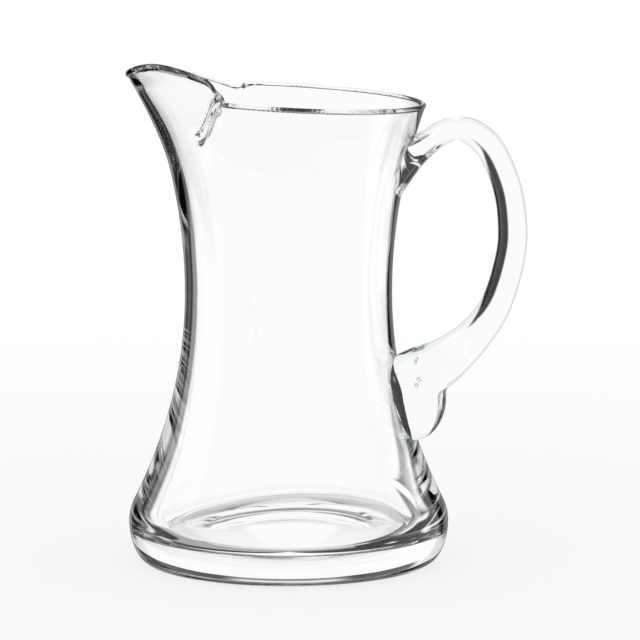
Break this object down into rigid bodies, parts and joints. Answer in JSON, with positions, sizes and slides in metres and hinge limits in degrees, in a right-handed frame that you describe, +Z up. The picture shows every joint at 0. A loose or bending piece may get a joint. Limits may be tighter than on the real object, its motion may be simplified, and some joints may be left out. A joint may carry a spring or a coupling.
{
  "type": "glass jug",
  "caption": "Clear blown-glass beer jug with a drawn-in waist, heavy base, hand-pulled pouring lip and an applied strap handle.",
  "frame": {"origin": "centre of the base, on the surface that the jug stands on", "axes": "+Z up along the jug's axis, +X from the axis to the handle, so the lip points along -X"},
  "size_m": [0.1718, 0.138, 0.2164],
  "materials": {
    "body_glass": "clear, fire-polished",
    "handle_glass": "clear, fire-polished"
  },
  "bodies": {
    "root": {"body": "body_glass", "handle": "handle_glass"}
  },
  "joints": []
}
